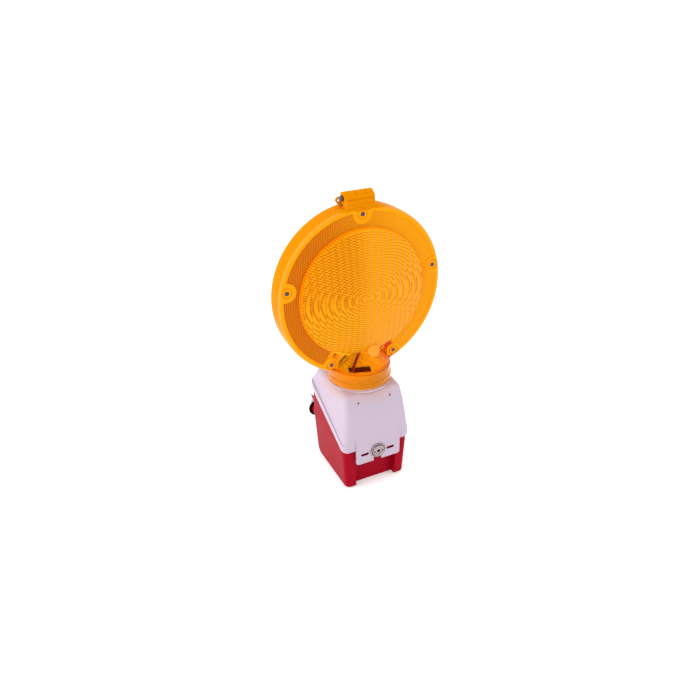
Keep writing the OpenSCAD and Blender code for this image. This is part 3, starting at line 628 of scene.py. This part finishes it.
def optic_outer(sign, face):
    """The dome with its upright flutes, cut to a disc."""
    cols, half_side, flute_depth = 6, 78, 0.6
    nx = int(2 * half_side / FLUTE) * cols
    xs = np.linspace(-nx / cols * FLUTE / 2, nx / cols * FLUTE / 2, nx + 1)
    zs = np.linspace(-half_side, half_side, 61)
    verts, faces = [], []
    for x in xs:
        for z in zs:
            r = min(math.hypot(x, z), OPTIC_R + 3)
            flute = flute_depth * abs(math.cos(math.pi * x / FLUTE)) - flute_depth
            h = face + STEP + max(dome_height(r), -0.5) + flute
            verts.append((x, sign * h, HEAD_Z + z))
    n = len(zs)
    for i in range(len(xs) - 1):
        for k in range(n - 1):
            faces.append((i * n + k, i * n + k + 1, (i + 1) * n + k + 1, (i + 1) * n + k))
    base = len(verts)
    for x in xs:
        for z in (zs[0], zs[-1]):
            verts.append((x, -sign * 2, HEAD_Z + z))
    for i in range(len(xs) - 1):
        a, b = base + 2 * i, base + 2 * (i + 1)
        faces.append((i * n, (i + 1) * n, b, a))
        faces.append((i * n + n - 1, a + 1, b + 1, (i + 1) * n + n - 1))
        faces.append((a, b, b + 1, a + 1))
    faces.append(tuple(range(n))[::-1] + (base, base + 1))
    last = (len(xs) - 1) * n
    faces.append(tuple(last + k for k in range(n)) + (base + 2 * (len(xs) - 1) + 1, base + 2 * (len(xs) - 1)))
    slab = outward(make("slab", verts, faces))
    top = face + STEP
    edge = [(0, top + 20), (OPTIC_R - 0.8, top + 20), (OPTIC_R - 0.8, top - 0.2), (OPTIC_R, top - 1.4),
            (OPTIC_R + 0.4, face - 1.5), (OPTIC_R + 0.4, -1), (0, -1)]
    cutter = revolve("cutter", [(r, sign * h) for r, h in edge], 192, "y", (0, 0, HEAD_Z))
    return combine(slab, "INTERSECT", cutter)


def optic_inner(sign, face):
    """Hollow of the optic, whose wall carries the concentric prism rings."""
    deep = 0.9
    pts = [(0, face + STEP + DOME - WALL)]
    n = int((OPTIC_R - 4) / RING)
    for i in range(n):
        r0, r1 = i * RING, (i + 1) * RING
        h0 = face + STEP + dome_height(r0) - WALL
        h1 = face + STEP + dome_height(r1) - WALL
        if i:
            pts.append((r0, h0))
        pts.append((r0 + RING * 0.82, h0 + (h1 - h0) * 0.82 - deep * (0.35 + 0.65 * i / n)))
    pts.append((n * RING, face + STEP + dome_height(n * RING) - WALL))
    pts += [(OPTIC_R - WALL, face + STEP - WALL), (OPTIC_R - WALL, -3), (0, -3)]
    return revolve("optic_inner", [(r, sign * h) for r, h in pts], 160, "y", (0, 0, HEAD_Z))


def shoulder(inset):
    """Collar and the shoulder that leads up into the head, or their hollow when inset is the wall."""
    rings, segs = [], 96

    def ring(a, b, yc, z):
        return [(a * math.cos(t), yc + b * math.sin(t), z) for t in np.arange(segs) * 2 * math.pi / segs]

    r0 = COLLAR_R - inset
    a1 = SHOULDER_HALF - inset
    b1 = (FACE_F + FACE_R) / 2 + STEP - inset
    yc1 = (FACE_R - FACE_F) / 2
    foot = COLLAR_FOOT if not inset else LIP_TOP
    if not inset:
        band, band_top = 0.8, foot + 6.4
        for r, z in [(r0 + band, foot), (r0 + band, band_top), (r0, band_top + band), (r0, COLLAR_TOP - 0.6)]:
            rings.append(ring(r, r, 0, z))
    else:
        rings.append(ring(r0 - 0.2, r0 - 0.2, 0, foot))
        rings.append(ring(r0 - 0.2, r0 - 0.2, 0, COLLAR_TOP - 1.4))
    z0, z1 = COLLAR_TOP - (1.0 if inset else 0.0), SHOULDER_Z - inset
    for i in range(9):
        t = i / 8
        rings.append(ring(r0 + (a1 - r0) * t, r0 + (b1 - r0) * t, yc1 * t, z0 + (z1 - z0) * t))
    return loft("shoulder", rings)


def hex_cells(sign, face):
    """Retro-reflecting cells on the back of the annulus: shallow six-sided pyramids."""
    pitch, sunk, depth, round_screw = 2.3, 0.15, 0.75, 12.5
    root = face - WALL + sunk
    verts, faces = [], []
    rad = pitch / math.sqrt(3) * 0.97
    for row in range(-45, 46):
        for col in range(-42, 43):
            x = (col + 0.5 * (row % 2)) * pitch
            z = row * pitch * math.sqrt(3) / 2
            r = math.hypot(x, z)
            if not OPTIC_R + 2.4 < r < 93.0:
                continue
            over_neck = z < -40 and abs(x) < 46
            if over_neck or any(math.hypot(x - sx, HEAD_Z + z - sz) < round_screw for sx, sz in SCREW_SPOTS):
                continue
            b = len(verts)
            for k in range(6):
                a = math.radians(60 * k + 30)
                verts.append((x + rad * math.cos(a), sign * root, HEAD_Z + z + rad * math.sin(a)))
            verts.append((x, sign * (root - sunk - depth), HEAD_Z + z))
            for k in range(6):
                faces.append((b + k, b + (k + 1) % 6, b + 6))
            faces.append(tuple(b + k for k in range(6)))
    return outward(make("cells", verts, faces))


def screw_pads(sign, face):
    """Raised lobes that run in from the lip round each lens screw."""
    pads = []
    for a in SCREW_ANGLES:
        size = 11.0 if a in (90, 168.5) else 9.5
        t = math.radians(a)
        out = []
        for k in range(33):
            s = math.radians(90 + k * 180 / 32)
            out.append((size * math.cos(s), size * math.sin(s)))
        out += [(4.0, -size - 1.5), (4.0, size + 1.5)]
        rings = []
        for h, g in ((face - 3.0, 0.0), (face - 0.5, 0.0), (face, -0.5)):
            ring = []
            for u, v in out:
                u2 = u * (1 + g / size) if u < 0 else u
                v2 = v * (1 + g / size)
                x = (SCREW_R + u2) * math.cos(t) - v2 * math.sin(t)
                z = (SCREW_R + u2) * math.sin(t) + v2 * math.cos(t)
                ring.append((x, sign * h, HEAD_Z + z))
            rings.append(ring)
        pads.append(loft("pad", rings))
    return pads


def screw_rings(sign, face):
    """Low raised ring round each screw, and the round boss under the optic."""
    prof = [(0, face - 1.0), (6.0, face - 1.0), (6.0, face + 0.1), (5.5, face + 0.6), (5.0, face + 0.1),
            (4.6, face - 0.6), (0, face - 0.6)]
    out = [revolve("ring", [(r, sign * h) for r, h in prof], 40, "y", (x, 0, z)) for x, z in SCREW_SPOTS]
    boss = revolve("boss", [(0, 7.0), (BOSS_R, 7.0), (BOSS_R, 0.8), (BOSS_R - 0.5, 0.1), (0, 0)], 48, "y")
    boss.data.transform(Matrix.Translation(boss_at(face) * MM) @ Matrix.Rotation(-BOSS_LEAN, 4, "X"))
    if sign > 0:
        boss.data.transform(Matrix.Diagonal((1, -1, 1, 1)))
    out.append(outward(boss))
    return out


def posts(sign, face):
    """Pillar behind each screw, from the face to the joint plane."""
    return [rod("post", 4.6, *sorted((0, sign * (face - 1))), (x, 0, z)) for x, z in SCREW_SPOTS]


def drill(o, r, y0, y1):
    """Bores a hole on each screw's axis."""
    for x, z in SCREW_SPOTS:
        combine(o, "DIFFERENCE", rod("hole", r, y0, y1, (x, 0, z), "y", 32))
    return o


def half(sign, face):
    """One lens half: -1 the front, +1 the rear."""
    s = disc_outer(sign, face)
    combine(s, "UNION", optic_outer(sign, face), shoulder(0))
    combine(s, "DIFFERENCE", disc_inner(sign, face), optic_inner(sign, face), shoulder(WALL))
    neck = rod("neck_room", NECK_R + 0.5, COLLAR_FOOT - 1, COLLAR_FOOT + 19, (0, 0, 0), "z", 96)
    combine(s, "DIFFERENCE", neck)
    combine(s, "UNION", *screw_pads(sign, face), *posts(sign, face), *screw_rings(sign, face))
    combine(s, "UNION", hex_cells(sign, face))
    lo, hi = ((-150, -60, 0), (150, -GAP, 420)) if sign < 0 else ((-150, GAP, 0), (150, 60, 420))
    combine(s, "INTERSECT", boxed("halfspace", lo, hi))
    return s


def prism_x(name, outline, x0, x1):
    """Solid from a (y, z) outline, drawn from x0 to x1."""
    return loft(name, [[(x, y, z) for y, z in outline] for x in (x0, x1)])


def hinge_lug():
    """Front half's lug: a barrel round the pin on a grooved slab, with room for the rear half's ear."""
    foot, brow, room = HEAD_Z + HEAD_R - 7, PIN_Z + 3, LUG_MID + 0.4
    lug = rod("lug", LUG_R, LUG[0], LUG[1], (0, 0, PIN_Z), "x", 64)
    slab = [(-GAP, foot), (-9.4, foot), (-9.4, foot + 6.0), (-10.3, foot + 6.6), (-10.3, foot + 8.0),
            (-9.3, foot + 8.6), (-9.1, brow - 4.6), (-8.3, brow - 4.2), (-8.2, brow - 3.2),
            (-9.0, brow - 2.8), (-8.6, brow - 0.6), (-7.6, brow), (-7, brow + 0.8), (-GAP, brow + 0.8)]
    combine(lug, "UNION", prism_x("slab", slab, *LUG))
    split = [(-9, brow - 0.6), (-6.0, brow - 0.6), (0, PIN_Z + 5.6), (0, PIN_Z + 9), (-9, PIN_Z + 9)]
    for x in (-LUG_MID, LUG_MID):
        combine(lug, "DIFFERENCE", prism_x("split", split, x - 0.3, x + 0.3))
    round_ear = rod("round_ear", EAR_R + 0.5, -room, room, (0, 0, PIN_Z), "x", 32)
    behind_ear = boxed("behind_ear", (-room, -GAP, HEAD_Z), (room, 20, PIN_Z + EAR_R + 0.5))
    over_rear = boxed("over_rear", (-50, -GAP, HEAD_Z), (50, 20, HEAD_Z + HEAD_R + 0.4))
    return combine(lug, "DIFFERENCE", round_ear, behind_ear, over_rear)


def hinge_ear():
    """Rear half's ear between the two ends of the lug."""
    ear = rod("ear", EAR_R, -LUG_MID, LUG_MID, (0, 0, PIN_Z), "x", 32)
    return combine(ear, "UNION", boxed("stem", (-LUG_MID, GAP, HEAD_Z + HEAD_R - 4), (LUG_MID, EAR_R, PIN_Z)))


def seal_eye():
    """Rear half's flat web beside the hinge, which carries the seal eye and stays clear of the lug."""
    arc = np.linspace(0.25, 1.22, 28) * math.pi
    outline = [(EYE_X + EYE_R * math.cos(t), EYE_Z + EYE_R * math.sin(t)) for t in arc]
    outline += [(-15.5, EYE_Z - 10.0), (-9.0, EYE_Z - 10.0), (-9.0, EYE_Z - 4.0)]
    web = loft("web", [[(x, y, z) for x, z in outline] for y in (5.0, 7.8)])
    clear = rod("clear_of_lug", 7.1, LUG[0] - GAP, LUG[1] + GAP, (0, 0, PIN_Z), "x", 64)
    return combine(web, "DIFFERENCE", clear)


front = half(-1, FACE_F)
combine(front, "UNION", hinge_lug())
combine(front, "DIFFERENCE", rod("bore", PIN_BORE_R + 0.06, -50, 50, (0, 0, PIN_Z), "x", 32))
drill(front, 1.5, -50, 50)
drill(front, 2.6, -50, -FACE_F + 1)
paint_shell(front, FACE_F)
finish_piece(front, None, "front", 28, ["front_lens"])
front.name = "front_shell"

rear = half(1, FACE_R)
combine(rear, "UNION", hinge_ear(), seal_eye())
combine(rear, "DIFFERENCE", rod("bore", PIN_BORE_R, -50, 50, (0, 0, PIN_Z), "x", 32),
        rod("eyehole", EYE_HOLE_R, 0, 20, (EYE_X, 0, EYE_Z), "y", 24))
drill(rear, 1.9, -5, 5)
paint_shell(rear, FACE_R)
finish_piece(rear, None, "head", 28, ["rear_lens"])
rear.name = "rear_shell"


# ---------------------------------------------------------------- the two leads
def smooth_path(points, steps=3):
    """Points along a Catmull-Rom curve through the given ones."""
    before, after = np.array(points[0]) * 2 - points[1], np.array(points[-1]) * 2 - points[-2]
    p = [before] + [np.array(q, float) for q in points] + [after]
    line = []
    for i in range(1, len(p) - 2):
        a, b, c, d = p[i - 1:i + 3]
        for t in np.arange(steps) / steps:
            line.append(0.5 * ((2 * b) + (c - a) * t + (2 * a - 5 * b + 4 * c - d) * t ** 2
                               + (3 * b - a - 3 * c + d) * t ** 3))
    return line + [p[-2]]


def lead(name, points, mat, node):
    """Insulated lead on one smooth curve through the points, from the LED board down to its plug."""
    line = [q * MM for q in smooth_path(points)]
    cu = bpy.data.curves.new(name, "CURVE")
    cu.dimensions, cu.bevel_depth, cu.bevel_resolution, cu.use_fill_caps = "3D", 0.0009, 4, True
    sp = cu.splines.new("POLY")
    sp.points.add(len(line) - 1)
    for i, q in enumerate(line):
        sp.points[i].co = (*q, 1)
    sp.use_smooth = True
    cu.materials.append(mat)
    o = bpy.data.objects.new(name, cu)
    bpy.context.scene.collection.objects.link(o)
    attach(o, "head")
    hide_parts(node)
    return o


BLACK_PATH = [(-3, 8.7, 228), (-3, 4, 216), (-2.5, -1, 200), (-2, -4, 184), (-3, -6, 171), (-6.5, -7, 162),
              (-11, -7.5, 152), (-14, -8, 144), (-14.6, -8, 139), (-12, -6.5, 136), (-6, -3, 134.5),
              (-2, -0.4, 133), (-1.3, 0, 131.4), (-1.3, 0, 130)]
RED_PATH = [(-0.8, 8.7, 228), (-0.8, 4, 216), (-0.3, -1, 200), (0.2, -4, 184), (-0.8, -6, 171),
            (-4.3, -7, 162), (-8.8, -7.5, 152), (-11.8, -8.2, 144), (-12.8, -9.6, 139), (-11, -8.8, 136),
            (-5, -5.5, 134.5), (0.6, -2, 133), (1.3, -1.4, 131.4), (1.3, -1.4, 130)]
lead("black_lead", BLACK_PATH, BLACK_PVC, "black_wire")
lead("red_lead", RED_PATH, RED_PVC, "red_wire")


# ---------------------------------------------------------------- screws and lock
def lens_screw(x, z):
    """Pan head with a cross recess, and its threaded shank into the rear shell."""
    seat = -FACE_F
    prof = [(0, seat - 0.88), (1.3, seat - 0.80), (2.0, seat - 0.45), (2.35, seat + 0.2), (2.35, seat + 1.0),
            (1.5, seat + 1.0)]
    y = seat + 1.2
    while y < SCREW_TIP - 0.8:
        prof += [(1.25, y), (1.5, y + 0.25)]
        y += 0.5
    prof += [(1.2, SCREW_TIP - 0.4), (0.3, SCREW_TIP), (0, SCREW_TIP)]
    o = revolve("lens_screw", prof, 24, "y", (x, 0, z))
    for spin in (45, 135):
        blade = boxed("blade", (-1.35, seat - 2, -0.28), (1.35, seat - 0.1, 0.28))
        blade.data.transform(Matrix.Rotation(math.radians(spin), 4, "Y"))
        blade.data.transform(Matrix.Translation(Vector((x, 0, z)) * MM))
        combine(o, "DIFFERENCE", blade)
    return o


for i, (x, z) in enumerate(SCREW_SPOTS):
    o = lens_screw(x, z)
    o.name = f"lens_screw_{i}"
    finish_piece(o, SCREW, "front", 30, ["lens_screws"] if i == 0 else ())


def lock_recess(c, n):
    """Whether a face of the lock lies in one of its three holes, or in the groove round its front."""
    r = math.hypot(c.x, c.z - LOCK_Z)
    wall = -0.9 < n.y < 0.3 and LOCK_Y + 0.1 < c.y < LOCK_Y + 3.1
    end = LOCK_Y + 2.0 < c.y < LOCK_Y + 3.1
    return r < 6.8 and (wall or end) or 7.75 < r < 8.45 and c.y < LOCK_Y + 2


# front with its groove, then the back, the neck of the shank and the shank
prof = [(0, LOCK_Y + 0.35), (4.4, LOCK_Y + 0.35), (4.8, LOCK_Y), (7.2, LOCK_Y), (7.7, LOCK_Y + 0.5),
        (7.8, LOCK_Y + 1.5), (8.3, LOCK_Y + 1.5), (8.5, LOCK_Y + 0.9), (9.0, LOCK_Y + 0.8),
        (LOCK_R, LOCK_Y + 1.3), (LOCK_R, LOCK_Y + 2.5), (LOCK_R - 0.2, LOCK_Y + 2.6), (3.9, LOCK_Y + 2.6),
        (3.9, -41.0), (2.5, -41.0), (2.5, lock_hi[1]), (0, lock_hi[1])]
lock = revolve("lock", prof, 96, "y", (0, 0, LOCK_Z))
hexagon = [(2.3 * math.cos(t), LOCK_Z + 2.3 * math.sin(t)) for t in np.arange(6) * math.pi / 3 + 0.3]
key = loft("key", [[(x, y, z) for x, z in hexagon] for y in (LOCK_Y - 2, LOCK_Y + 3.0)])
pins = [rod("pin", 1.05, LOCK_Y - 2, LOCK_Y + 2.2, (x, 0, LOCK_Z), "y", 24) for x in (-5.5, 5.5)]
combine(lock, "DIFFERENCE", key, *pins)
lock.data.materials.clear()
lock.data.materials.append(LOCK)
lock.data.materials.append(RECESS_SHADE)
# the lock's holes and the groove round its front take the painted recess shade
for p in lock.data.polygons:
    if lock_recess(p.center / MM, p.normal):
        p.material_index = 1
finish_piece(lock, None, "lock", 30, ["lock_face"])


# ---------------------------------------------------------------- studio
floor_mat = material("pale_floor", (0.92, 0.92, 0.92), 0.7, specular=0.1, tint=0.004, tint_scale=3)
shade = shader(floor_mat)
shade.inputs["Emission Color"].default_value = (1, 1, 1, 1)
shade.inputs["Emission Strength"].default_value = 0.2
far = 40000
corners = [(-far, -far, 0), (far, -far, 0), (far, far, 0), (-far, far, 0)]
floor = make("floor", corners, [(0, 1, 2, 3)], floor_mat)
floor.location.z = -0.0005

world = bpy.data.worlds.new("studio")
bpy.context.scene.world = world
world.use_nodes = True
bg = world.node_tree.nodes["Background"]
bg.inputs["Color"].default_value = (1.0, 0.985, 1.0, 1)
bg.inputs["Strength"].default_value = 1.1


def softbox(name, where, at, size, power):
    """White area light at one point, turned to another."""
    light = bpy.data.lights.new(name, "AREA")
    light.shape, light.size, light.size_y = "RECTANGLE", size[0], size[1]
    light.energy = power
    o = bpy.data.objects.new(name, light)
    bpy.context.scene.collection.objects.link(o)
    o.location = where
    o.rotation_euler = (Vector(at) - Vector(where)).to_track_quat("-Z", "Y").to_euler()
    return o


for light in (softbox("key_left", (-1.5, 0.1, 0.8), (0, 0, 0.12), (1.0, 1.0), 11),
              softbox("top", (0.1, 0.2, 1.6), (0, 0, 0.2), (1.4, 1.4), 6),
              softbox("right", (1.2, -0.9, 0.7), (0, 0, 0.2), (0.7, 0.7), 2)):
    light.visible_glossy = False
softbox("strip", (-1.1, -1.0, 0.9), (0, 0, 0.25), (0.10, 0.9), 3.5)

# ---------------------------------------------------------------- camera, in m and radians
cam_data = bpy.data.cameras.new("camera")
cam_data.lens, cam_data.sensor_width = 34.04, 36.0
cam = bpy.data.objects.new("camera", cam_data)
bpy.context.scene.collection.objects.link(cam)
bpy.context.scene.camera = cam
CAMERA_AT = (-0.30649, -0.61482, 0.55180)
YAW, PITCH, ROLL = 0.44649, 0.51202, -0.01188
ahead = Vector((math.sin(YAW) * math.cos(PITCH), math.cos(YAW) * math.cos(PITCH), -math.sin(PITCH)))
level = Vector((math.cos(YAW), -math.sin(YAW), 0))
above = level.cross(ahead)
right = math.cos(ROLL) * level + math.sin(ROLL) * above
up = -math.sin(ROLL) * level + math.cos(ROLL) * above
cam.matrix_world = Matrix.Translation(CAMERA_AT) @ Matrix((right, up, -ahead)).transposed().to_4x4()
bpy.context.scene.view_settings.view_transform = "Standard"
